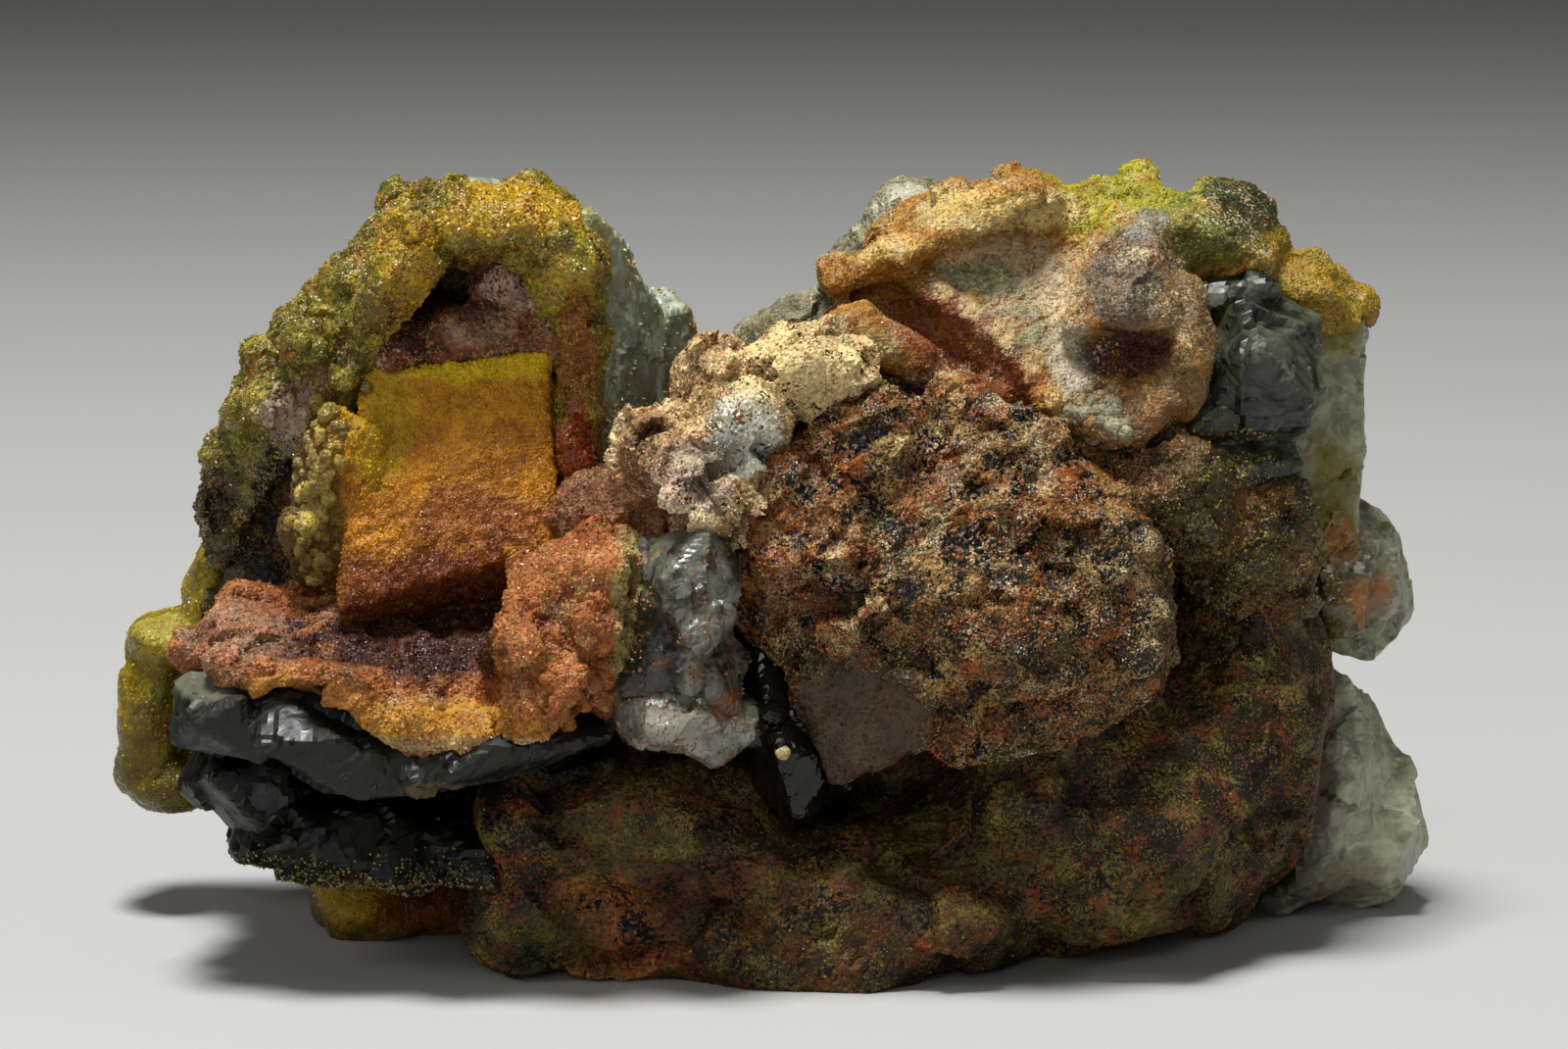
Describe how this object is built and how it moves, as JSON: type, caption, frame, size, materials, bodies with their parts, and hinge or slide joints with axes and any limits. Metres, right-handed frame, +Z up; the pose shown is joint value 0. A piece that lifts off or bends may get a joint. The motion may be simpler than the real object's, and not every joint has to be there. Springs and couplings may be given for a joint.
{
  "type": "mimetite with pyromorphite specimen",
  "caption": "Natural mineral specimen: sugary yellow and orange pyromorphite and mimetite crusts over broken quartz, with a flat cut underside to stand on.",
  "frame": {"origin": "middle of the specimen's box, on its flat cut underside", "axes": "+X to the right along the specimen's length, -Y towards the crusted front, +Z up"},
  "size_m": [0.0828, 0.0428, 0.0475],
  "materials": {
    "brown_rock": "rough brown quartz-rich rock, dusted with rust and ochre grains",
    "smoky_quartz": "glassy smoky quartz, nearly black, with curved broken faces",
    "clear_quartz": "glassy grey-green broken quartz, translucent",
    "milky_quartz": "milky white quartz, translucent, with rust and yellow stains",
    "speckled_quartz": "dark quartz densely speckled with white, beige and rust grains",
    "beige_crust": "dull beige to pinkish sugary crust",
    "orange_crust": "sugary orange mimetite crust that sparkles",
    "pink_druse": "dusty pinkish-brown druse of very small crystals",
    "olive_crust": "knobbly olive to yellow-green pyromorphite crust that sparkles",
    "yellow_crust": "bright yellow pyromorphite crust"
  },
  "bodies": {
    "root": {"matrix_rock": "brown_rock", "smoky_quartz_base": "smoky_quartz", "quartz_ledge": "clear_quartz", "speckled_boulder": "speckled_quartz", "light_grey_quartz": "milky_quartz", "dark_wedge_crystal": "smoky_quartz", "smoky_quartz_lens": "smoky_quartz", "light_quartz_rim": "milky_quartz", "white_quartz_wing": "milky_quartz", "back_crag": "beige_crust", "rhomb_block": "orange_crust", "quartz_fin": "clear_quartz", "bowl_crust": "orange_crust", "saddle_druse": "pink_druse", "middle_lumps": "beige_crust", "grey_quartz_tip": "clear_quartz", "left_hump_crust": "olive_crust", "pink_hollow_druse": "pink_druse", "left_shelf_crust": "yellow_crust", "left_foot_lobe": "yellow_crust", "right_hump_crust": "orange_crust"}
  },
  "joints": []
}
